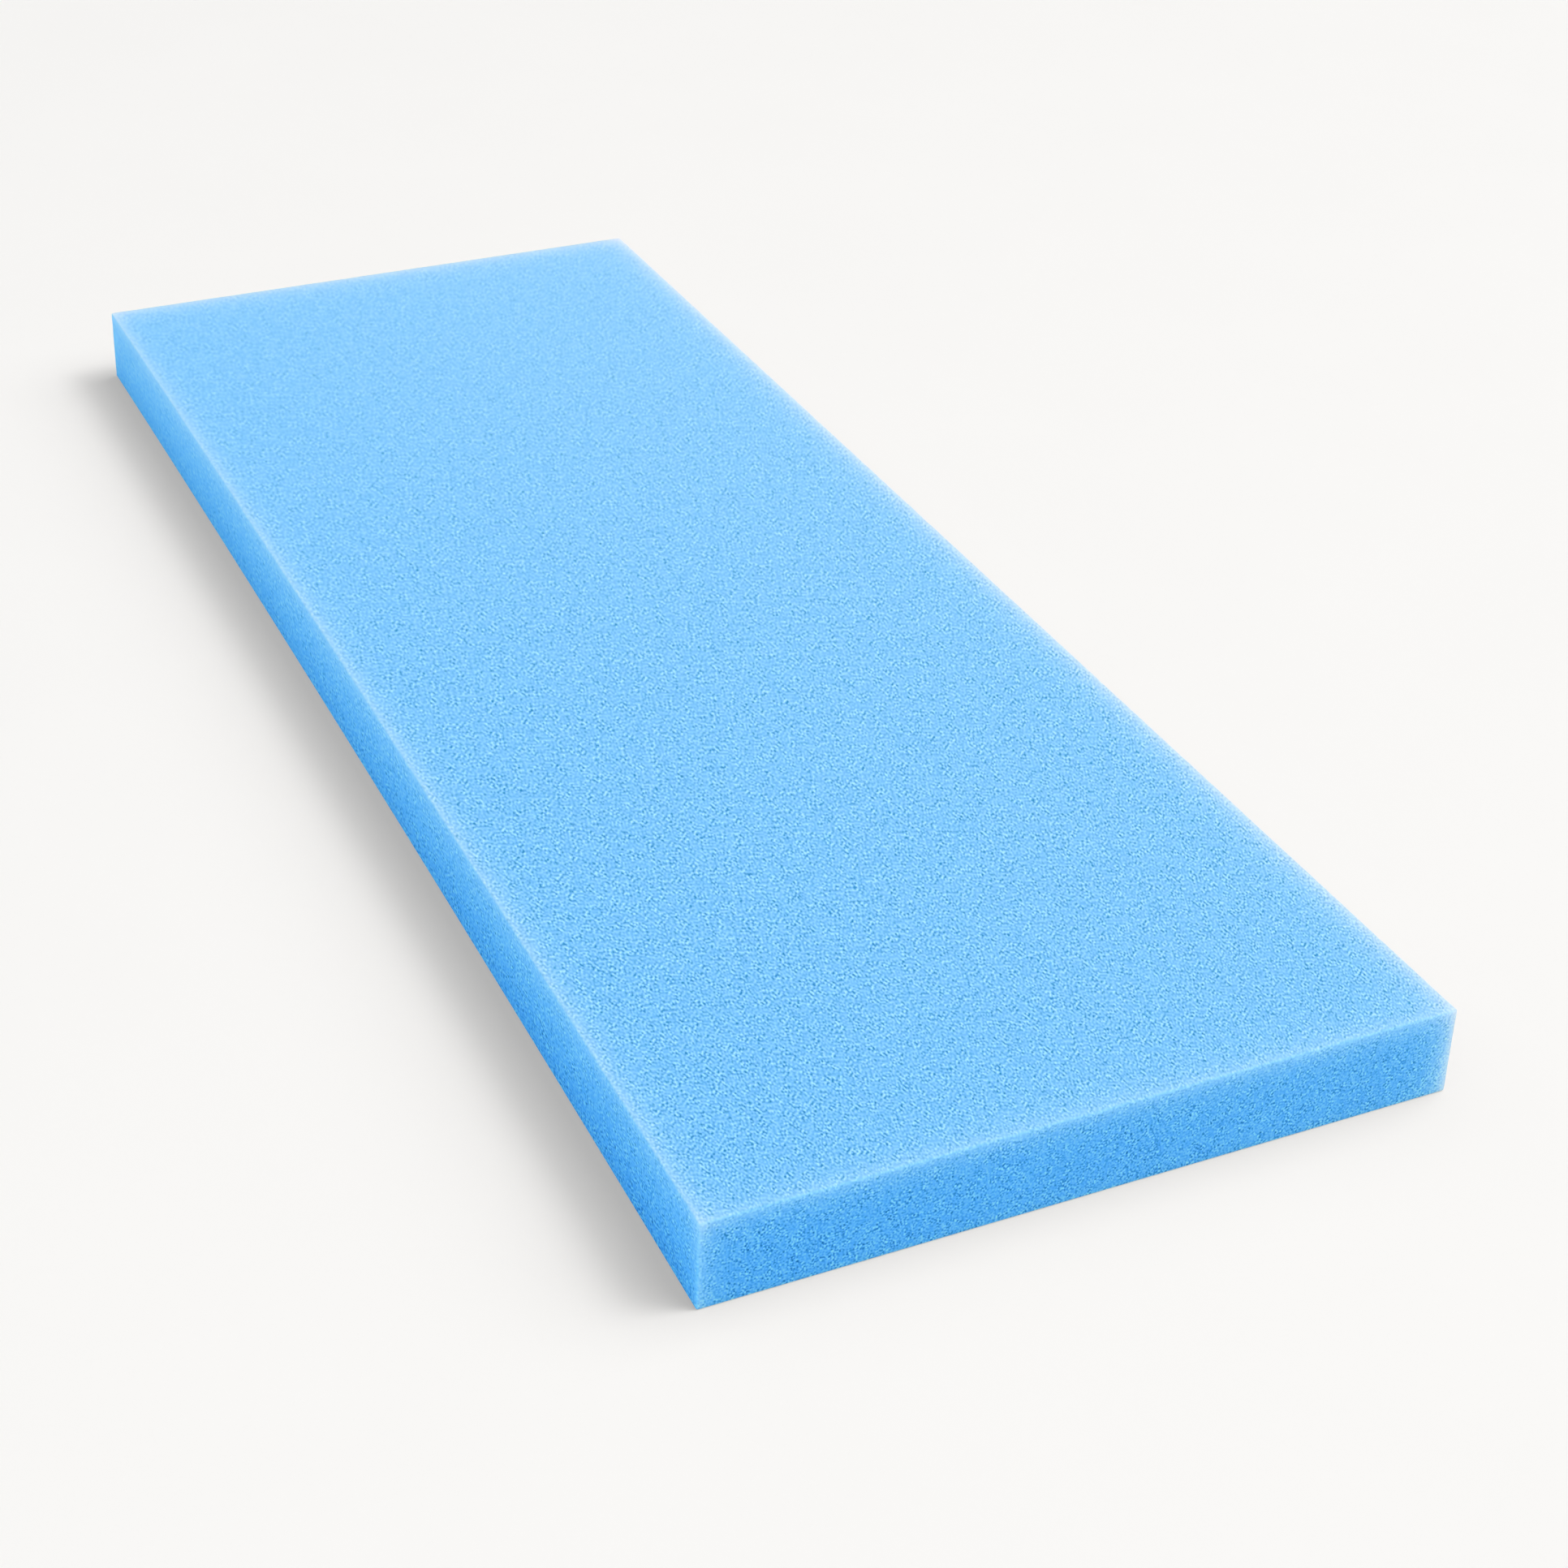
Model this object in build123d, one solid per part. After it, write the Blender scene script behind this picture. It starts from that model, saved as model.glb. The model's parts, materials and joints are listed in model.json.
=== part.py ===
from build123d import *

import os

# Polyurethane foam slab, cut in one piece from sheet stock of an ordinary thickness.
# Units are millimetres. +Z is up and the underside lies on Z = 0. X runs across the slab's
# width and Y along its length. The origin is the centre of the slab's box, at the underside.

# Driving dimensions
LENGTH = 580.0  # along Y, between the two cut ends
WIDTH = 210.5  # along X, at the ends of the underside
THICKNESS = 26.0  # along Z
SIDE_HOLLOW = 1.3  # how far the -X side draws in at mid length, where the foam sprang at the cut
SIDE_LEAN = 0.8  # how much further out the -X side stands at its foot than at the top
EDGE_ROUND = 0.6  # radius of all twelve edges, which soft foam doesn't keep sharp

HALF_LENGTH = LENGTH / 2
HALF_WIDTH = WIDTH / 2


def slab_outline(height: float) -> Sketch:
    """The slab's section at one height: three straight sides, and one drawn in along a long arc."""
    hollow_side = -HALF_WIDTH + SIDE_LEAN * height / THICKNESS
    near_hollow_corner = (hollow_side, -HALF_LENGTH)
    far_hollow_corner = (hollow_side, HALF_LENGTH)
    near_straight_corner = (HALF_WIDTH, -HALF_LENGTH)
    far_straight_corner = (HALF_WIDTH, HALF_LENGTH)
    deepest_of_hollow = (hollow_side + SIDE_HOLLOW, 0)
    sides = Curve() + [
        ThreePointArc(far_hollow_corner, deepest_of_hollow, near_hollow_corner),
        Line(near_hollow_corner, near_straight_corner),
        Line(near_straight_corner, far_straight_corner),
        Line(far_straight_corner, far_hollow_corner),
    ]
    return Pos(0, 0, height) * make_face(sides)


def foam_slab() -> Part:
    """The whole slab, with every edge softened."""
    slab = loft([slab_outline(0), slab_outline(THICKNESS)], ruled=True)
    return fillet(slab.edges(), EDGE_ROUND)


os.makedirs("parts", exist_ok=True)
export_step(foam_slab(), "parts/foam_slab.step")
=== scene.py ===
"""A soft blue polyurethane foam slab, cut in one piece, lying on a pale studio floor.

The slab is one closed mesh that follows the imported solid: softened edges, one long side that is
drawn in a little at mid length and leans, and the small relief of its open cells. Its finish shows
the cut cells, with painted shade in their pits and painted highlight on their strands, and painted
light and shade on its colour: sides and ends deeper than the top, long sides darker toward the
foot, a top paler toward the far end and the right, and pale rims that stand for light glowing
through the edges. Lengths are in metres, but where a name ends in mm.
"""

from __future__ import annotations

import json
import logging
import math
from dataclasses import dataclass, field
from enum import Enum

import bpy
import numpy as np
from mathutils import Matrix, Vector

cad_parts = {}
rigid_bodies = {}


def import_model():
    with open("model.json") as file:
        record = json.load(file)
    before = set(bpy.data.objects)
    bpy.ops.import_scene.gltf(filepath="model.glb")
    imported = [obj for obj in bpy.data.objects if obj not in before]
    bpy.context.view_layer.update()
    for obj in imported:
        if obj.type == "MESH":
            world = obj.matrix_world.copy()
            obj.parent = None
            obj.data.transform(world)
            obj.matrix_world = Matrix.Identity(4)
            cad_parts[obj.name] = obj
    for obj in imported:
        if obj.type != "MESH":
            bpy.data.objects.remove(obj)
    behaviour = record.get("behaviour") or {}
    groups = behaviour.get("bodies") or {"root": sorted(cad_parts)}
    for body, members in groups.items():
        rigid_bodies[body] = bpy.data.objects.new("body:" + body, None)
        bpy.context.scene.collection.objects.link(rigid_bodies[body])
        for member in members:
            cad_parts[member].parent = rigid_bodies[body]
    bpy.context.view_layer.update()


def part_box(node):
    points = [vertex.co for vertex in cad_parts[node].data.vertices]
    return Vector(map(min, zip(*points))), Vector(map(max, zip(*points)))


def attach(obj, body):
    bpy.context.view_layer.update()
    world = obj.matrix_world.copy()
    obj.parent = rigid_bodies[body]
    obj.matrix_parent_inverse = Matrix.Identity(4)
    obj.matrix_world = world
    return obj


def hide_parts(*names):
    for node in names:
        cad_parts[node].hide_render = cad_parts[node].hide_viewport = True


LOG = logging.getLogger("foam_slab")

MM = 0.001
NODE = "foam_slab"

Colour = tuple[float, float, float]
GridPoint = tuple[int, int, int]
GridFace = tuple[GridPoint, ...]


class Axis(Enum):
    """The three directions of the slab, by their place in a point."""

    WIDTH = 0
    LENGTH = 1
    THICKNESS = 2


class Trait(Enum):
    """What the mesh tells the finish and the relief at each of its points."""

    EDGE = "edge_mm"
    # Painted light and shade, kept as a power of the colour.
    DEPTH = "painted_light_power"
    GRAIN = "grain_share"


class NodeWeb:
    """A small hand for wiring a node tree, shared by the finishes and the relief."""

    def __init__(self, tree: bpy.types.NodeTree) -> None:
        """Takes the shader or geometry tree that the nodes go into."""
        self.tree = tree

    def add(self, kind: str, **settings: object) -> bpy.types.Node:
        """Adds a node.

        Args:
            kind: the node's type name.
            settings: properties to set on it.

        Returns:
            The new node.
        """
        node = self.tree.nodes.new(kind)
        for name, value in settings.items():
            setattr(node, name, value)
        return node

    def put(self, socket: bpy.types.NodeSocket, value: object) -> None:
        """Feeds a socket from another node's output, or sets it to a plain value.

        Args:
            socket: the input to feed.
            value: an output socket, or the value itself.
        """
        if isinstance(value, bpy.types.NodeSocket):
            self.tree.links.new(value, socket)
        else:
            socket.default_value = value

    def math(self, operation: str, *values: object, clamp: bool = False) -> bpy.types.NodeSocket:
        """Adds a Math node.

        Args:
            operation: what it works out, such as MULTIPLY.
            values: its inputs in order, sockets or numbers.
            clamp: whether the result is kept from 0 to 1.

        Returns:
            Its output.
        """
        node = self.add("ShaderNodeMath", operation=operation, use_clamp=clamp)
        for socket, value in zip(node.inputs, values):
            self.put(socket, value)
        return node.outputs[0]

    def vector(self, operation: str, *values: object) -> bpy.types.Node:
        """Adds a Vector Math node.

        Args:
            operation: what it works out, such as SCALE.
            values: its vector inputs in order; for SCALE, the vector and then the number.

        Returns:
            The node, whose output is Vector or Value.
        """
        node = self.add("ShaderNodeVectorMath", operation=operation)
        if operation == "SCALE":
            self.put(node.inputs["Vector"], values[0])
            self.put(node.inputs["Scale"], values[1])
            return node
        for socket, value in zip(node.inputs, values):
            self.put(socket, value)
        return node

    def spread(
        self, value: object, low: float, high: float, to_low: float = 0.0, to_high: float = 1.0
    ) -> bpy.types.NodeSocket:
        """Maps one range of a number smoothly on another and holds it there.

        Args:
            value: the number, or the output that gives it.
            low: where the range begins.
            high: where it ends.
            to_low: what low becomes.
            to_high: what high becomes.

        Returns:
            The mapped number.
        """
        node = self.add("ShaderNodeMapRange", interpolation_type="SMOOTHSTEP")
        for name, amount in (
            ("Value", value),
            ("From Min", low),
            ("From Max", high),
            ("To Min", to_low),
            ("To Max", to_high),
        ):
            self.put(node.inputs[name], amount)
        return node.outputs["Result"]

    def level(self, value: object, low: float, high: float) -> bpy.types.NodeSocket:
        """Maps the range of a number from low to high evenly on 0 to 1 and holds it there."""
        return self.math("DIVIDE", self.math("SUBTRACT", value, low), high - low, clamp=True)

    def blend(self, share: object, first: object, second: object) -> bpy.types.NodeSocket:
        """Mixes two colours.

        Args:
            share: how much of the second colour there is.
            first: a colour, or the output that gives it.
            second: another.

        Returns:
            The mixed colour.
        """
        node = self.add("ShaderNodeMix", data_type="RGBA")
        self.put(node.inputs["Factor"], share)
        sockets = [socket for socket in node.inputs if socket.type == "RGBA"]
        for socket, colour in zip(sockets, (first, second)):
            self.put(socket, (*colour, 1.0) if isinstance(colour, tuple) else colour)
        return next(socket for socket in node.outputs if socket.type == "RGBA")


@dataclass(frozen=True)
class CellPattern:
    """The cut cells: strands and dark pits, with quieter patches, soft clouds and a few deep pores.

    The strands are where smooth noise stands above what lies round it. The pitch and the stretch
    are those at the corner, which is at the far end. There the cells are largest, most drawn out
    and faintest, and they grow smaller, rounder and stronger toward the near end. They are drawn
    out along a line that is turned from the slab's length by so many degrees. Pitches other than
    the first are in cells, and both growths are by the metre.
    """

    corner: Vector
    pitch: float = 1.34 * MM
    stretch: float = 2.85
    stretch_growth: float = 0.70
    stretch_up: float = 1.1
    turn: float = 24.0
    growth: float = 1.27
    reach: float = 0.42
    contrast: float = 2.75
    patch_pitch: float = 3.0
    patch_share: float = 0.4
    patch_low: float = 0.3
    patch_high: float = 0.7
    cloud_pitch: float = 2.4
    cloud_depth: float = 0.14
    pore_pitch: float = 2.6
    pore_depth: float = 0.35
    pore_core: float = 0.08
    pore_rim: float = 0.24
    middle: float = 0.545
    fade_from: float = -0.22
    fade_to: float = 0.36
    far_share: float = 0.2

    @staticmethod
    def noise(web: NodeWeb, place: object, pitch: float = 1.0) -> bpy.types.NodeSocket:
        """Adds smooth noise.

        Args:
            web: the material's nodes.
            place: where it's read, in cells.
            pitch: the size of its lumps, in cells.

        Returns:
            The noise, from 0 to 1.
        """
        node = web.add("ShaderNodeTexNoise", noise_dimensions="3D")
        web.put(node.inputs["Vector"], place)
        web.put(node.inputs["Scale"], 1.0 / pitch)
        web.put(node.inputs["Detail"], 0.0)
        return node.outputs["Fac"]

    def in_cells(self, web: NodeWeb) -> bpy.types.NodeSocket:
        """Turns the place on the slab into a count of cells.

        Across and along the cells, the count falls off by an even share for each metre toward the
        far end, which is what makes them grow there.

        Args:
            web: the material's nodes.

        Returns:
            The place in cells.
        """
        place = web.add("ShaderNodeTexCoord").outputs["Object"]
        off = web.vector("SUBTRACT", place, tuple(self.corner)).outputs["Vector"]
        parts = web.add("ShaderNodeSeparateXYZ")
        web.put(parts.inputs["Vector"], off)
        sine, cosine = math.sin(math.radians(self.turn)), math.cos(math.radians(self.turn))
        counted = web.add("ShaderNodeCombineXYZ")
        per_metre = []
        for name, growth, size, x_part, y_part in (
            ("X", self.growth, self.pitch, cosine, sine),
            ("Y", self.growth + self.stretch_growth, self.pitch * self.stretch, sine, -cosine),
        ):
            shrunk = web.math("EXPONENT", web.math("MULTIPLY", parts.outputs["Y"], -growth))
            per_metre.append(web.math("DIVIDE", shrunk, size))
            reached = web.math("ADD", web.math("MULTIPLY", parts.outputs["X"], x_part), y_part / growth)
            web.put(counted.inputs[name], web.math("MULTIPLY", reached, per_metre[-1]))
        height = web.math("DIVIDE", parts.outputs["Z"], self.stretch_up)
        web.put(counted.inputs["Z"], web.math("MULTIPLY", height, per_metre[0]))
        return counted.outputs["Vector"]

    def strands(self, web: NodeWeb, place: bpy.types.NodeSocket) -> bpy.types.NodeSocket:
        """Works out how far the noise stands above its mean a short way off on all sides.

        Args:
            web: the material's nodes.
            place: the place in cells.

        Returns:
            Above 0 on a strand and below 0 in a pit.
        """
        around = 0.0
        ways = (-self.reach, self.reach)
        for axis in Axis:
            for way in ways:
                step = [0.0, 0.0, 0.0]
                step[axis.value] = way
                there = web.vector("ADD", place, tuple(step)).outputs["Vector"]
                around = web.math("ADD", around, self.noise(web, there))
        mean = web.math("DIVIDE", around, float(len(Axis) * len(ways)))
        return web.math("SUBTRACT", self.noise(web, place), mean)

    def height(self, web: NodeWeb) -> bpy.types.NodeSocket:
        """Draws the cut cells: about 0 deep in a pit and about 1 high on a strand.

        Args:
            web: the material's nodes.

        Returns:
            The height of the cells.
        """
        place = self.in_cells(web)
        patch = self.noise(web, place, self.patch_pitch)
        least, most = self.contrast * (1.0 - self.patch_share), self.contrast * (1.0 + self.patch_share)
        strands = self.strands(web, place)
        strength = web.spread(patch, self.patch_low, self.patch_high, least, most)
        tone = web.math("MULTIPLY", strands, strength)
        pores = web.add("ShaderNodeTexVoronoi", voronoi_dimensions="3D", feature="F1")
        web.put(pores.inputs["Vector"], place)
        web.put(pores.inputs["Scale"], 1.0 / self.pore_pitch)
        holes = web.spread(pores.outputs["Distance"], self.pore_core, self.pore_rim, self.pore_depth, 0.0)
        tone = web.math("SUBTRACT", tone, holes)
        along = web.add("ShaderNodeSeparateXYZ")
        web.put(along.inputs["Vector"], web.add("ShaderNodeTexCoord").outputs["Object"])
        fade = web.spread(along.outputs["Y"], self.fade_from, self.fade_to, 1.0, self.far_share)
        tone = web.math("MULTIPLY", tone, fade)
        cloud = web.math("SUBTRACT", self.noise(web, place, self.cloud_pitch), 0.5)
        tone = web.math("ADD", tone, web.math("MULTIPLY", cloud, self.cloud_depth))
        face = web.add("ShaderNodeAttribute", attribute_name=Trait.GRAIN.value).outputs["Fac"]
        return web.math("ADD", web.math("MULTIPLY", tone, face), self.middle)


@dataclass(frozen=True)
class FoamFinish:
    """Open-cell foam in blue: pits and strands with painted shade and highlight, and painted light and shade
    that deepens the sides and pales the cut rims.
    """

    cells: CellPattern
    # Partly the cells' own pattern, partly painted shade: the pits darken the cells' low points, where the
    # bump lies in shade.
    pit: Colour = (0.031, 0.27, 0.60)
    body: Colour = (0.183, 0.534, 0.98)
    # Partly the cells' own pattern, partly painted highlight: the strands brighten the cells' high points.
    strand: Colour = (0.41, 0.82, 1.0)
    # How far each channel follows the painted light and shade.
    painted_light_swing: Colour = (1.10, 0.92, 0.9)
    bump_depth: float = 0.12 * MM
    roughness: float = 0.9
    gloss: float = 0.15
    scatter_share: float = 0.3
    scatter_reach: float = 4.0 * MM
    scatter_by_colour: Colour = (0.5, 0.8, 1.2)

    def colour(self, web: NodeWeb, tone: bpy.types.NodeSocket) -> bpy.types.NodeSocket:
        """Colours the foam by its cells, with painted shade in the pits and painted highlight on the
        strands, and deepens or thins the colour by the painted light and shade that the mesh keeps.

        The body's colour stands at half height, between the pits and the strands.

        Args:
            web: the material's nodes.
            tone: the height of the cells.

        Returns:
            The colour.
        """
        low = web.blend(web.level(tone, 0.0, 0.5), self.pit, self.body)
        colour = web.blend(web.level(tone, 0.5, 1.0), low, self.strand)
        # The painted light and shade that the mesh keeps, as a power of the colour.
        depth = web.add("ShaderNodeAttribute", attribute_name=Trait.DEPTH.value).outputs["Fac"]
        swung = web.vector("SCALE", self.painted_light_swing, web.math("SUBTRACT", depth, 1.0)).outputs["Vector"]
        power = web.vector("ADD", swung, (1.0, 1.0, 1.0)).outputs["Vector"]
        return web.vector("POWER", colour, power).outputs["Vector"]

    def material(self) -> bpy.types.Material:
        """Builds the foam's material.

        Returns:
            The material.
        """
        made = bpy.data.materials.new("blue_foam")
        made.use_nodes = True
        made.node_tree.nodes.clear()
        web = NodeWeb(made.node_tree)
        tone = self.cells.height(web)
        bump = web.add("ShaderNodeBump")
        web.put(bump.inputs["Height"], tone)
        web.put(bump.inputs["Distance"], self.bump_depth)
        web.put(bump.inputs["Strength"], 1.0)
        surface = web.add("ShaderNodeBsdfPrincipled")
        web.put(surface.inputs["Base Color"], self.colour(web, tone))
        web.put(surface.inputs["Roughness"], web.spread(tone, 0.0, 1.0, 1.0, self.roughness))
        web.put(surface.inputs["Normal"], bump.outputs["Normal"])
        web.put(surface.inputs["Specular IOR Level"], self.gloss)
        web.put(surface.inputs["Subsurface Weight"], self.scatter_share)
        web.put(surface.inputs["Subsurface Radius"], self.scatter_by_colour)
        web.put(surface.inputs["Subsurface Scale"], self.scatter_reach)
        out = web.add("ShaderNodeOutputMaterial")
        web.put(out.inputs["Surface"], surface.outputs["BSDF"])
        return made


@dataclass(frozen=True)
class FloorFinish:
    """Smooth pale paper under the slab."""

    colour: Colour = (0.939, 0.919, 0.894)
    darkest_share: float = 0.985
    patches_per_metre: float = 12.0
    roughness: float = 0.95
    gloss: float = 0.1

    def material(self) -> bpy.types.Material:
        """Builds the floor's material, with a faint unevenness in its tone.

        Returns:
            The material.
        """
        made = bpy.data.materials.new("pale_floor")
        made.use_nodes = True
        made.node_tree.nodes.clear()
        web = NodeWeb(made.node_tree)
        noise = web.add("ShaderNodeTexNoise", noise_dimensions="3D")
        web.put(noise.inputs["Vector"], web.add("ShaderNodeTexCoord").outputs["Object"])
        web.put(noise.inputs["Scale"], self.patches_per_metre)
        darker = tuple(self.darkest_share * part for part in self.colour)
        surface = web.add("ShaderNodeBsdfPrincipled")
        web.put(surface.inputs["Base Color"], web.blend(noise.outputs["Fac"], darker, self.colour))
        web.put(surface.inputs["Roughness"], self.roughness)
        web.put(surface.inputs["Specular IOR Level"], self.gloss)
        out = web.add("ShaderNodeOutputMaterial")
        web.put(out.inputs["Surface"], surface.outputs["BSDF"])
        return made


@dataclass
class CellRelief:
    """The small relief that the cut cells give to the slab, made by geometry nodes."""

    pore_pitch: float = 3.0 * MM
    pore_depth: float = 0.20 * MM
    clump_pitch: float = 7.0 * MM
    clump_depth: float = 0.14 * MM
    slide: float = 0.30 * MM
    slide_from_mm: float = 1.5
    slide_full_mm: float = 3.0
    resting_height: float = 1.0 * MM
    seed: int = 7

    def tree(self) -> bpy.types.NodeTree:
        """Builds the node tree, with its sizes as named inputs.

        Returns:
            The geometry node tree.
        """
        tree = bpy.data.node_groups.new("foam_cell_relief", "GeometryNodeTree")
        face = tree.interface
        face.new_socket("Geometry", in_out="INPUT", socket_type="NodeSocketGeometry")
        for name in ("Pore Pitch", "Pore Depth", "Clump Pitch", "Clump Depth", "Slide", "Resting Height"):
            face.new_socket(name, in_out="INPUT", socket_type="NodeSocketFloat")
        face.new_socket("Seed", in_out="INPUT", socket_type="NodeSocketInt")
        face.new_socket("Finish", in_out="INPUT", socket_type="NodeSocketMaterial")
        face.new_socket("Geometry", in_out="OUTPUT", socket_type="NodeSocketGeometry")
        web = NodeWeb(tree)
        given = web.add("NodeGroupInput").outputs
        place = web.add("GeometryNodeInputPosition").outputs["Position"]
        outward = web.add("GeometryNodeInputNormal").outputs["Normal"]
        height = web.add("ShaderNodeSeparateXYZ")
        web.put(height.inputs["Vector"], place)
        free = web.math(
            "DIVIDE",
            web.math("SUBTRACT", height.outputs["Z"], web.math("MULTIPLY", given["Resting Height"], 0.5)),
            given["Resting Height"],
            clamp=True,
        )
        depth = web.math(
            "ADD",
            self.layer(web, place, given["Pore Pitch"], given["Pore Depth"], given["Seed"]),
            self.layer(web, place, given["Clump Pitch"], given["Clump Depth"], given["Seed"]),
        )
        raised = web.vector("SCALE", outward, web.math("MULTIPLY", depth, free)).outputs["Vector"]
        along = self.along_surface(web, outward, given, free)
        shift = web.vector("ADD", raised, along).outputs["Vector"]
        moved = web.add("GeometryNodeSetPosition")
        web.put(moved.inputs["Geometry"], given["Geometry"])
        web.put(moved.inputs["Offset"], shift)
        realised = web.add("GeometryNodeRealizeInstances")
        web.put(realised.inputs["Geometry"], moved.outputs["Geometry"])
        dressed = web.add("GeometryNodeSetMaterial")
        web.put(dressed.inputs["Geometry"], realised.outputs["Geometry"])
        web.put(dressed.inputs["Material"], given["Finish"])
        result = web.add("NodeGroupOutput")
        web.put(result.inputs["Geometry"], dressed.outputs["Geometry"])
        return tree

    @staticmethod
    def layer(
        web: NodeWeb,
        place: bpy.types.NodeSocket,
        pitch: bpy.types.NodeSocket,
        depth: bpy.types.NodeSocket,
        seed: bpy.types.NodeSocket,
    ) -> bpy.types.NodeSocket:
        """Gives one layer of relief from smooth noise.

        Args:
            web: the tree's nodes.
            place: each point's position.
            pitch: the size of the lumps.
            depth: how far they rise and fall, from lowest to highest.
            seed: which noise it is.

        Returns:
            The height of each point.
        """
        noise = web.add("ShaderNodeTexNoise", noise_dimensions="4D")
        web.put(noise.inputs["Vector"], place)
        web.put(noise.inputs["W"], seed)
        web.put(noise.inputs["Scale"], web.math("DIVIDE", 1.0, pitch))
        web.put(noise.inputs["Detail"], 1.0)
        return web.math("MULTIPLY", web.math("SUBTRACT", noise.outputs["Fac"], 0.5), depth)

    def along_surface(
        self,
        web: NodeWeb,
        outward: bpy.types.NodeSocket,
        given: bpy.types.NodeOutputs,
        free: bpy.types.NodeSocket,
    ) -> bpy.types.NodeSocket:
        """Slides each point at random along its face, away from the edges, so that no grid shows.

        Args:
            web: the tree's nodes.
            outward: each point's normal.
            given: the tree's inputs.
            free: 0 on the resting face and 1 above it.

        Returns:
            The shift of each point.
        """
        draw = web.add("FunctionNodeRandomValue", data_type="FLOAT_VECTOR")
        web.put(draw.inputs["Min"], (-1.0, -1.0, -1.0))
        web.put(draw.inputs["Max"], (1.0, 1.0, 1.0))
        web.put(draw.inputs["Seed"], given["Seed"])
        drawn = draw.outputs["Value"]
        off = web.vector("PROJECT", drawn, outward).outputs["Vector"]
        level = web.vector("SUBTRACT", drawn, off).outputs["Vector"]
        edge = web.add("GeometryNodeInputNamedAttribute", data_type="FLOAT")
        web.put(edge.inputs["Name"], Trait.EDGE.value)
        inside = web.spread(edge.outputs["Attribute"], self.slide_from_mm, self.slide_full_mm)
        amount = web.math("MULTIPLY", web.math("MULTIPLY", given["Slide"], inside), free)
        return web.vector("SCALE", level, amount).outputs["Vector"]

    def apply(self, piece: bpy.types.Object, finish: bpy.types.Material) -> None:
        """Puts the relief and the finish on a piece and keeps the result as its plain mesh.

        Args:
            piece: the piece with a smooth mesh.
            finish: the material that it gets.
        """
        modifier = piece.modifiers.new("cell_relief", "NODES")
        modifier.node_group = self.tree()
        values = {
            "Pore Pitch": self.pore_pitch,
            "Pore Depth": self.pore_depth,
            "Clump Pitch": self.clump_pitch,
            "Clump Depth": self.clump_depth,
            "Slide": self.slide,
            "Resting Height": self.resting_height,
            "Seed": self.seed,
            "Finish": finish,
        }
        for item in modifier.node_group.interface.items_tree:
            if item.in_out == "INPUT" and item.name in values:
                modifier[item.identifier] = values[item.name]
        graph = bpy.context.evaluated_depsgraph_get()
        result = bpy.data.meshes.new_from_object(piece.evaluated_get(graph))
        piece.modifiers.remove(modifier)
        plain = piece.data
        piece.data = result
        bpy.data.meshes.remove(plain)
        result.name = piece.name


@dataclass(frozen=True)
class PaintedGlowRim:
    """A painted pale rim, standing for light that glows through the foam, on one pair of faces along one of
    their edges.

    The faces are the two across the face axis, and the edge is on the high or low side of another.
    """

    face: Axis
    edge: Axis
    high: bool
    share: float
    reach_mm: float = 4.1


@dataclass(frozen=True)
class PaintedLightPower:
    """Painted light and shade on the foam's colour, as a power of the colour, from place to place.

    The sides and ends are painted deeper than the top, and the long sides darker toward the foot, as
    shade; the top is painted paler toward the far end and the right, and pale rims stand for light that
    glows through the foam near its edges. The sides' two numbers are for the top and the foot. The
    painted light's drifts are by the metre.
    """

    top: float = 0.94
    ends: float = 1.385
    long_sides: tuple[float, float] = (1.125, 1.62)
    # Painted light, by the metre: paler toward the right and the far end.
    painted_light_across: float = -0.47
    painted_light_along: float = -0.23
    side_painted_light_along: float = -0.17
    # Painted pale rims that stand for light glowing through the foam near its edges.
    rims: tuple[PaintedGlowRim, ...] = (
        PaintedGlowRim(Axis.THICKNESS, Axis.WIDTH, high=False, share=0.38, reach_mm=3.2),
        PaintedGlowRim(Axis.THICKNESS, Axis.WIDTH, high=True, share=0.64),
        PaintedGlowRim(Axis.THICKNESS, Axis.LENGTH, high=False, share=0.25),
        PaintedGlowRim(Axis.THICKNESS, Axis.LENGTH, high=True, share=0.52, reach_mm=6.3),
        PaintedGlowRim(Axis.LENGTH, Axis.WIDTH, high=False, share=0.36),
        PaintedGlowRim(Axis.LENGTH, Axis.WIDTH, high=True, share=0.74),
        PaintedGlowRim(Axis.LENGTH, Axis.THICKNESS, high=True, share=0.40),
        PaintedGlowRim(Axis.WIDTH, Axis.LENGTH, high=False, share=0.26),
        PaintedGlowRim(Axis.WIDTH, Axis.LENGTH, high=True, share=0.07, reach_mm=16.0),
        PaintedGlowRim(Axis.WIDTH, Axis.THICKNESS, high=True, share=0.17, reach_mm=3.0),
    )

    def depth(
        self, points: np.ndarray, facing: np.ndarray, from_low: np.ndarray, from_high: np.ndarray
    ) -> np.ndarray:
        """Works out the power of the colour at each point, which paints light and shade into it.

        Args:
            points: points on the sharp box.
            facing: how far each point faces along each axis, adding up to 1.
            from_low: its millimetres from the low side of each axis.
            from_high: its millimetres from the high side of each axis.

        Returns:
            The powers.
        """
        across, along, up = Axis.WIDTH.value, Axis.LENGTH.value, Axis.THICKNESS.value
        # Painted shade: sides and ends deeper than the top, and the long sides darker toward the foot.
        down = from_high[:, up] / (from_low[:, up] + from_high[:, up])
        side = self.long_sides[0] + (self.long_sides[1] - self.long_sides[0]) * down
        # Painted light: the long sides are paler toward the far end.
        side *= 1.0 + self.side_painted_light_along * points[:, along]
        depth = facing[:, across] * side + facing[:, along] * self.ends + facing[:, up] * self.top
        # Painted light: paler toward the right and the far end, deeper toward the left and the near end.
        depth *= 1.0 + self.painted_light_across * points[:, across] + self.painted_light_along * points[:, along]
        # Painted glow: each rim thins the colour near its edge.
        for rim in self.rims:
            away = (from_high if rim.high else from_low)[:, rim.edge.value]
            depth *= 1.0 - rim.share * facing[:, rim.face.value] * np.exp(-away / rim.reach_mm)
        return depth


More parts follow.
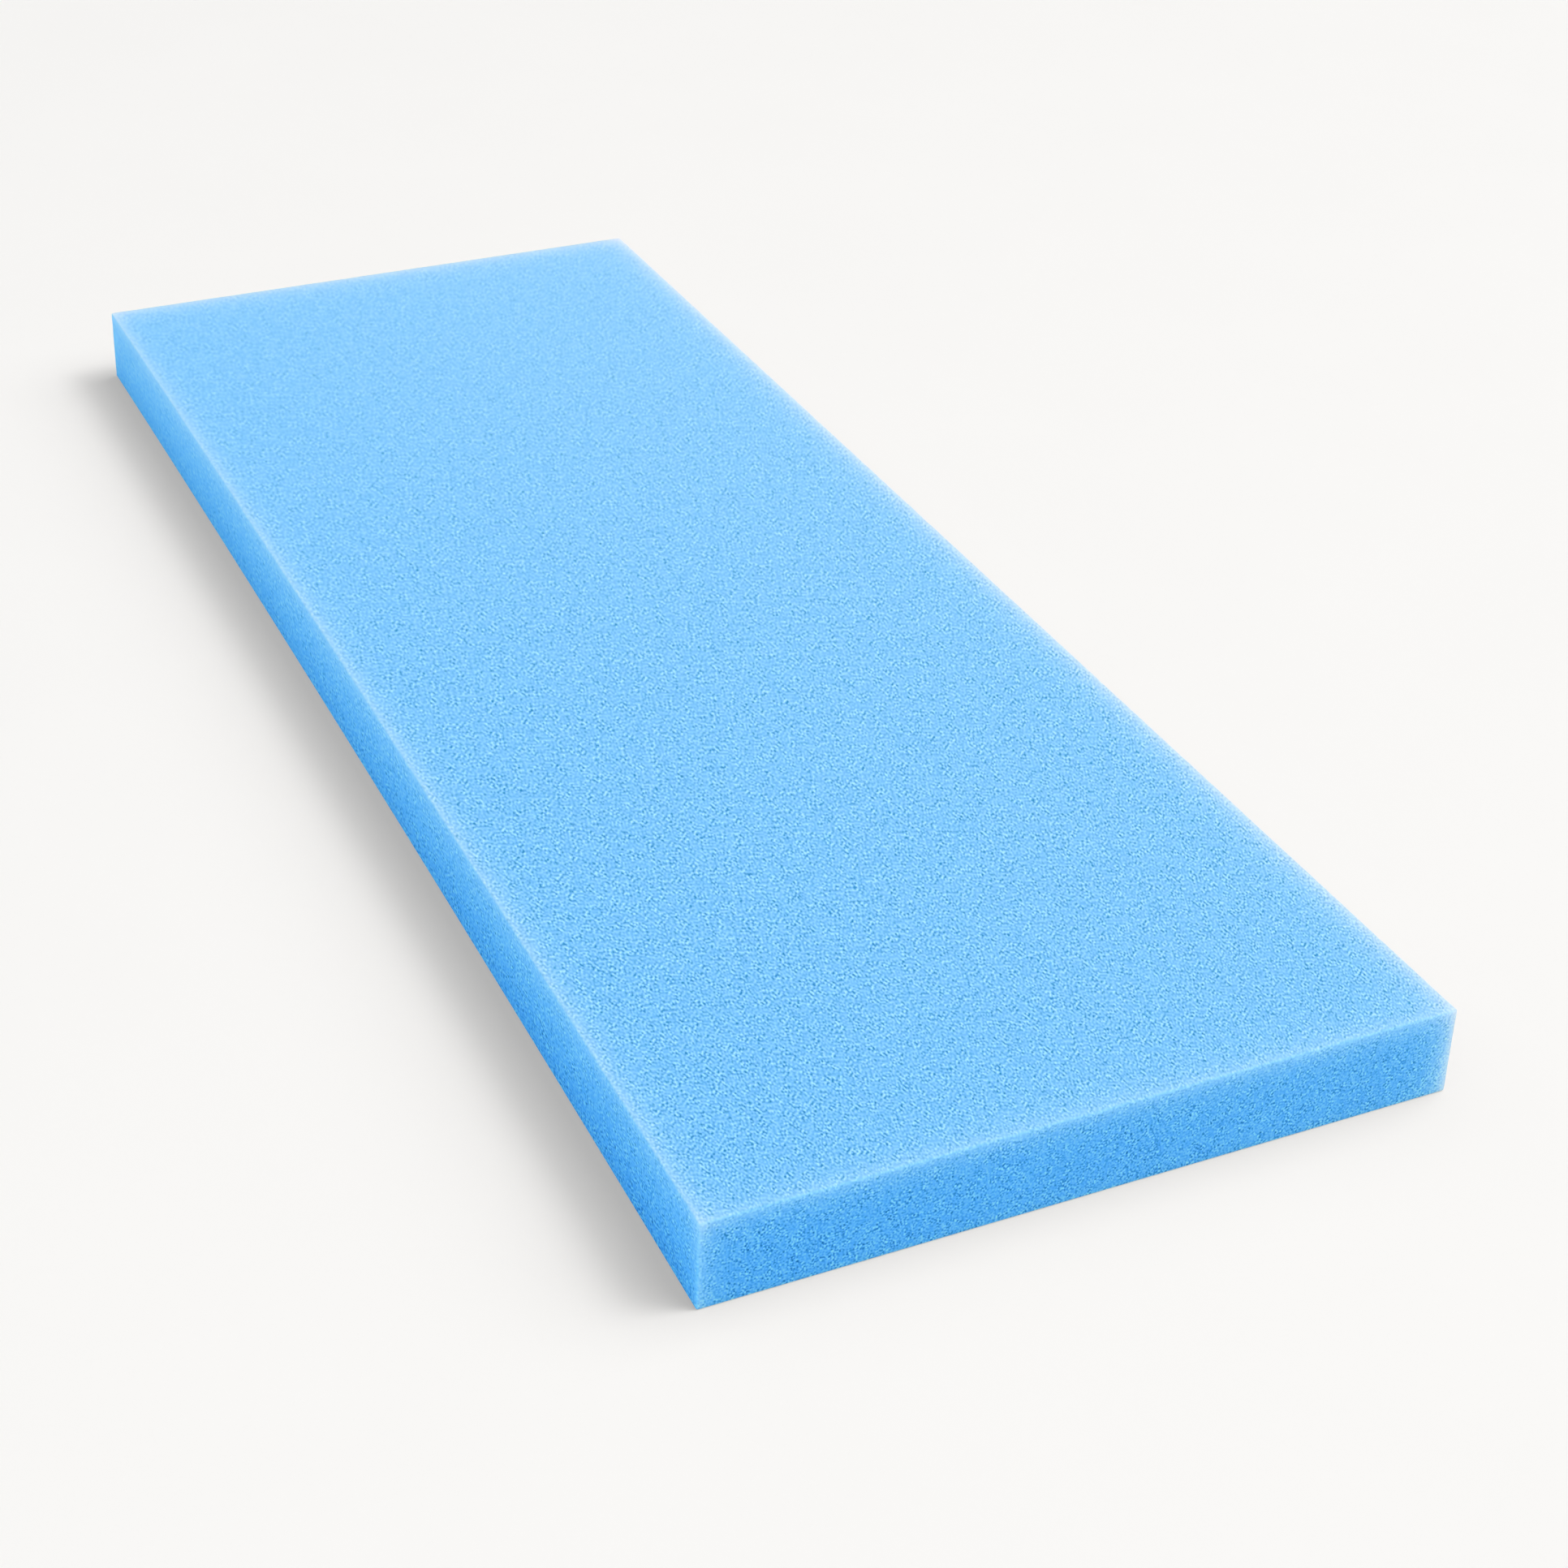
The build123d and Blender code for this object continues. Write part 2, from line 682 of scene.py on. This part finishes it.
@dataclass
class FoamSlab:
    """The slab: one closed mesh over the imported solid, and its finish."""

    low: Vector
    high: Vector
    edge_round: float = 0.6 * MM
    side_hollow: float = 1.3 * MM
    side_lean: float = 0.8 * MM
    mesh_pitch: float = 1.4 * MM
    round_steps: int = 2
    coarse_steps: int = 4
    # Painted light and shade on the foam's colour.
    colour: PaintedLightPower = PaintedLightPower()
    grain: dict[Axis, float] = field(
        default_factory=lambda: {Axis.WIDTH: 0.63, Axis.LENGTH: 0.80, Axis.THICKNESS: 0.93}
    )
    quiet_rim: float = 0.5
    quiet_rim_mm: float = 2.0
    relief: CellRelief = field(default_factory=CellRelief)

    def lines(self, axis: Axis) -> np.ndarray:
        """Places the grid's lines along one axis: close on the rounds and even between them.

        Args:
            axis: the direction.

        Returns:
            The lines' places, from the low side to the high one.
        """
        low, high = self.low[axis.value], self.high[axis.value]
        rounding = np.linspace(0.0, self.edge_round, self.round_steps, endpoint=False)
        flat = high - low - 2.0 * self.edge_round
        steps = self.coarse_steps * round(flat / self.mesh_pitch / self.coarse_steps)
        even = np.linspace(low + self.edge_round, high - self.edge_round, steps + 1)
        return np.concatenate([low + rounding, even, high - rounding[::-1]])

    def shaped(self, points: np.ndarray) -> np.ndarray:
        """Rounds the edges of a sharp box, draws one long side in and leans its top inward.

        Args:
            points: points on the sharp box.

        Returns:
            The same points on the slab.
        """
        low, high = np.array(self.low), np.array(self.high)
        core = np.clip(points, low + self.edge_round, high - self.edge_round)
        out = points - core
        made = core + out / np.linalg.norm(out, axis=1, keepdims=True) * self.edge_round
        half_length = 0.5 * (high[1] - low[1])
        along = made[:, 1] - 0.5 * (high[1] + low[1])
        radius = (half_length**2 + self.side_hollow**2) / (2.0 * self.side_hollow)
        inward = np.sqrt(radius**2 - along**2) - (radius - self.side_hollow)
        inward += self.side_lean * (made[:, 2] - low[2]) / (high[2] - low[2])
        made[:, 0] += inward * (high[0] - made[:, 0]) / (high[0] - low[0])
        return made

    def traits(self, points: np.ndarray) -> dict[Trait, np.ndarray]:
        """Works out what the finish needs to know of each point of the sharp box.

        On a face one of the three distances, to the nearer side, the nearer end and the top, is 0,
        and the next is the distance to the edge, so it is always the middle one of the three.

        Args:
            points: points on the sharp box.

        Returns:
            The values of each trait.
        """
        low, high = np.array(self.low), np.array(self.high)
        from_low, from_high = (points - low) / MM, (high - points) / MM
        to_side, to_end, _ = np.minimum(from_low, from_high).T
        edge = np.median([to_side, to_end, from_high[:, 2]], axis=0)
        out = points - np.clip(points, low + self.edge_round, high - self.edge_round)
        facing = (out / np.linalg.norm(out, axis=1, keepdims=True)) ** 2
        quiet = 1.0 - self.quiet_rim * np.exp(-edge / self.quiet_rim_mm)
        return {
            Trait.EDGE: edge,
            # Painted light and shade, as a power of the colour.
            Trait.DEPTH: self.colour.depth(points, facing, from_low, from_high),
            Trait.GRAIN: facing @ [self.grain[axis] for axis in Axis] * quiet,
        }

    def build(self) -> bpy.types.Object:
        """Makes the slab's smooth mesh as one object.

        Returns:
            The object.
        """
        lines = [self.lines(axis) for axis in Axis]
        grid = SurfaceGrid(tuple(len(line) for line in lines), self.round_steps, self.coarse_steps)
        faces = grid.faces()
        used = np.array(sorted(grid.used), dtype=int)
        points = np.column_stack([line[index] for line, index in zip(lines, used.T)])
        mesh = bpy.data.meshes.new(NODE)
        mesh.from_pydata(self.shaped(points).tolist(), [], faces)
        mesh.polygons.foreach_set("use_smooth", [True] * len(mesh.polygons))
        for trait, values in self.traits(points).items():
            kept = mesh.attributes.new(trait.value, "FLOAT", "POINT")
            kept.data.foreach_set("value", values.astype(np.float32))
        mesh.update()
        piece = bpy.data.objects.new("slab", mesh)
        bpy.context.scene.collection.objects.link(piece)
        return piece

    def dress(self, piece: bpy.types.Object) -> None:
        """Gives the slab's object its relief and its finish."""
        finish = FoamFinish(cells=CellPattern(corner=self.high))
        self.relief.apply(piece, finish.material())


@dataclass
class SurfaceGrid:
    """The faces of a box's surface grid, fine everywhere but under the slab.

    The underside is coarse inside its rounds, with a row of triangles where it meets the fine grid.
    """

    counts: tuple[int, int, int]
    round_steps: int
    coarse_steps: int
    used: dict[GridPoint, int] = field(default_factory=dict)

    def faces(self) -> list[tuple[int, ...]]:
        """Lists all faces by the numbers of their points, outward.

        Returns:
            The faces.
        """
        corners = [*self.walls(), *self.top(), *self.fine_underside(), *self.coarse_underside()]
        self.used = {key: n for n, key in enumerate(sorted({key for face in corners for key in face}))}
        return [tuple(self.used[key] for key in face) for face in corners]

    def walls(self) -> list[GridFace]:
        """Lists the quads of the two long sides and the two ends.

        Returns:
            The quads.
        """
        across, along, up = (count - 1 for count in self.counts)
        made = []
        for k in range(up):
            for j in range(along):
                made.append(((0, j + 1, k), (0, j, k), (0, j, k + 1), (0, j + 1, k + 1)))
                made.append(((across, j, k), (across, j + 1, k), (across, j + 1, k + 1), (across, j, k + 1)))
            for i in range(across):
                made.append(((i, 0, k), (i + 1, 0, k), (i + 1, 0, k + 1), (i, 0, k + 1)))
                made.append(((i + 1, along, k), (i, along, k), (i, along, k + 1), (i + 1, along, k + 1)))
        return made

    def top(self) -> list[GridFace]:
        """Lists the quads of the top.

        Returns:
            The quads.
        """
        across, along, up = (count - 1 for count in self.counts)
        return [
            ((i, j, up), (i + 1, j, up), (i + 1, j + 1, up), (i, j + 1, up))
            for j in range(along)
            for i in range(across)
        ]

    def fine_underside(self) -> list[GridFace]:
        """Lists the quads of the underside that lie on its rounds.

        Returns:
            The quads.
        """
        across, along, _ = (count - 1 for count in self.counts)
        rim = self.round_steps
        return [
            ((i, j + 1, 0), (i + 1, j + 1, 0), (i + 1, j, 0), (i, j, 0))
            for j in range(along)
            for i in range(across)
            if not (rim <= i < across - rim and rim <= j < along - rim)
        ]

    def coarse_underside(self) -> list[GridFace]:
        """Lists the large faces inside the rounds of the underside, and the triangles round them.

        Returns:
            The faces.
        """
        across, along, _ = (count - 1 for count in self.counts)
        rim, step = self.round_steps, self.coarse_steps
        made = []
        for j in range(rim, along - rim, step):
            for i in range(rim, across - rim, step):
                ring = self.coarse_cell(i, j)
                if len(ring) == 4:
                    made.append(tuple(ring))
                else:
                    made.extend(self.fan(ring, i, j))
        return made

    def coarse_cell(self, i: int, j: int) -> list[GridPoint]:
        """Goes round one large cell of the underside, clockwise from above.

        Args:
            i: its first line across.
            j: its first line along.

        Returns:
            Its four corners, with the fine points between them on a side that meets the fine grid.
        """
        across, along, _ = (count - 1 for count in self.counts)
        rim, step = self.round_steps, self.coarse_steps
        sides = (
            ([(i, j + n, 0) for n in range(step)], i == rim),
            ([(i + n, j + step, 0) for n in range(step)], j + step == along - rim),
            ([(i + step, j + step - n, 0) for n in range(step)], i + step == across - rim),
            ([(i + step - n, j, 0) for n in range(step)], j == rim),
        )
        ring = []
        for points, fine in sides:
            ring.extend(points if fine else points[:1])
        return ring

    def fan(self, ring: list[GridPoint], i: int, j: int) -> list[GridFace]:
        """Cuts the cell at i, j, with the ring of points round it, into triangles from its middle."""
        middle = (i + self.coarse_steps // 2, j + self.coarse_steps // 2, 0)
        return [(middle, ring[n], ring[(n + 1) % len(ring)]) for n in range(len(ring))]


@dataclass(frozen=True)
class Panel:
    """A round soft light panel that faces the slab's middle."""

    name: str
    azimuth: float
    elevation: float
    distance: float
    size: float
    level: float
    casts_shadow: bool = True

    def hang(self) -> bpy.types.Object:
        """Hangs the panel, with the power that lights a surface facing it to the panel's level.

        Returns:
            The lamp.
        """
        data = bpy.data.lights.new(self.name, "AREA")
        data.shape = "DISK"
        data.size = self.size
        data.energy = self.level * (math.pi * self.distance) ** 2
        data.use_shadow = self.casts_shadow
        # Otherwise the floor's diffuse rays, which pass through a piece that is hidden from them,
        # would meet the lamp behind it and wash out its shadow.
        data.cycles.use_multiple_importance_sampling = False
        lamp = bpy.data.objects.new(self.name, data)
        bpy.context.scene.collection.objects.link(lamp)
        back = toward(self.azimuth, self.elevation)
        facing = back.to_track_quat("Z", "Y").to_matrix().to_4x4()
        lamp.matrix_world = Matrix.Translation(back * self.distance) @ facing
        return lamp


@dataclass
class Studio:
    """The floor, the lamps, the pale room and the camera."""

    aim: tuple[float, float, float] = (0.00095, -0.1046, 0.013)
    distance: float = 0.8443
    azimuth: float = -24.87
    elevation: float = 31.83
    roll: float = 0.99
    lens: float = 65.97
    sensor: float = 36.0
    far_clip: float = 100.0
    floor_size: float = 14.0
    room: float = 0.26
    room_colour: Colour = (0.96, 1.0, 1.04)
    pale: Colour = (1.0, 0.995, 0.985)
    pale_level: float = 0.94
    floor_finish: FloorFinish = field(default_factory=FloorFinish)
    panels: tuple[Panel, ...] = (
        Panel("key_core", azimuth=67.0, elevation=54.2, distance=12.0, size=4.4, level=0.19),
        Panel("key_panel", azimuth=72.0, elevation=51.8, distance=12.0, size=14.9, level=0.575),
        Panel("top_panel", azimuth=0.0, elevation=90.0, distance=12.0, size=36.0, level=0.42),
        Panel(
            "fill_panel",
            azimuth=-62.0,
            elevation=20.0,
            distance=12.0,
            size=7.2,
            level=0.5,
            casts_shadow=False,
        ),
    )

    def set_camera(self) -> bpy.types.Object:
        """Makes the camera and gives it to the scene.

        Returns:
            The camera.
        """
        data = bpy.data.cameras.new("camera")
        data.sensor_width = self.sensor
        data.lens = self.lens
        data.clip_end = self.far_clip
        camera = bpy.data.objects.new("camera", data)
        bpy.context.scene.collection.objects.link(camera)
        back = toward(self.azimuth, self.elevation)
        upright = back.to_track_quat("Z", "Y").to_matrix().to_4x4()
        tilt = Matrix.Rotation(math.radians(self.roll), 4, "Z")
        camera.matrix_world = Matrix.Translation(Vector(self.aim) + back * self.distance) @ upright @ tilt
        bpy.context.scene.camera = camera
        return camera

    def lay_floor(self) -> bpy.types.Object:
        """Lays the pale floor that the slab rests on.

        Returns:
            The floor.
        """
        half = self.floor_size / 2.0
        mesh = bpy.data.meshes.new("floor")
        corners = [(-half, -half, 0.0), (half, -half, 0.0), (half, half, 0.0), (-half, half, 0.0)]
        mesh.from_pydata(corners, [], [(0, 1, 2, 3)])
        mesh.materials.append(self.floor_finish.material())
        floor = bpy.data.objects.new("floor", mesh)
        bpy.context.scene.collection.objects.link(floor)
        return floor

    def light_room(self) -> None:
        """Fills the room with even light, and shows it pale to the camera and in glosses."""
        world = bpy.data.worlds.new("room")
        bpy.context.scene.world = world
        world.use_nodes = True
        world.node_tree.nodes.clear()
        web = NodeWeb(world.node_tree)
        air = web.add("ShaderNodeBackground")
        path = web.add("ShaderNodeLightPath")
        seen = web.math("ADD", path.outputs["Is Camera Ray"], path.outputs["Is Glossy Ray"], clamp=True)
        web.put(air.inputs["Color"], web.blend(seen, self.room_colour, self.pale))
        web.put(air.inputs["Strength"], web.spread(seen, 0.0, 1.0, self.room, self.pale_level))
        out = web.add("ShaderNodeOutputWorld")
        web.put(out.inputs["Surface"], air.outputs["Background"])

    def build(self) -> None:
        """Sets up the floor, the room, the lamps and the camera."""
        self.lay_floor()
        self.light_room()
        for panel in self.panels:
            panel.hang()
        self.set_camera()


def toward(azimuth: float, elevation: float) -> Vector:
    """Gives a unit direction from degrees: azimuth 0 at -Y and 90 at +X, elevation above the floor."""
    turn, rise = math.radians(azimuth), math.radians(elevation)
    return Vector((math.sin(turn) * math.cos(rise), -math.cos(turn) * math.cos(rise), math.sin(rise)))


def clear_scene() -> None:
    """Empties the scene that the program starts with."""
    for thing in list(bpy.data.objects):
        bpy.data.objects.remove(thing, do_unlink=True)


def main() -> None:
    """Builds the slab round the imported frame, then the studio round the slab."""
    logging.basicConfig(level=logging.INFO, format="%(name)s: %(message)s")
    clear_scene()
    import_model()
    low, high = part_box(NODE)
    slab = FoamSlab(low=Vector(low), high=Vector(high))
    piece = slab.build()
    slab.dress(piece)
    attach(piece, "root")
    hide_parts(NODE)
    # The floor takes no blue light from the slab, so it stays the neutral pale that it is.
    piece.visible_diffuse = False
    LOG.info("%s: %d points, %d faces", piece.name, len(piece.data.vertices), len(piece.data.polygons))
    Studio().build()
    LOG.info("studio: floor, room, lamps and camera")
    bpy.context.scene.view_settings.view_transform = "Standard"


if __name__ == "__main__":
    main()
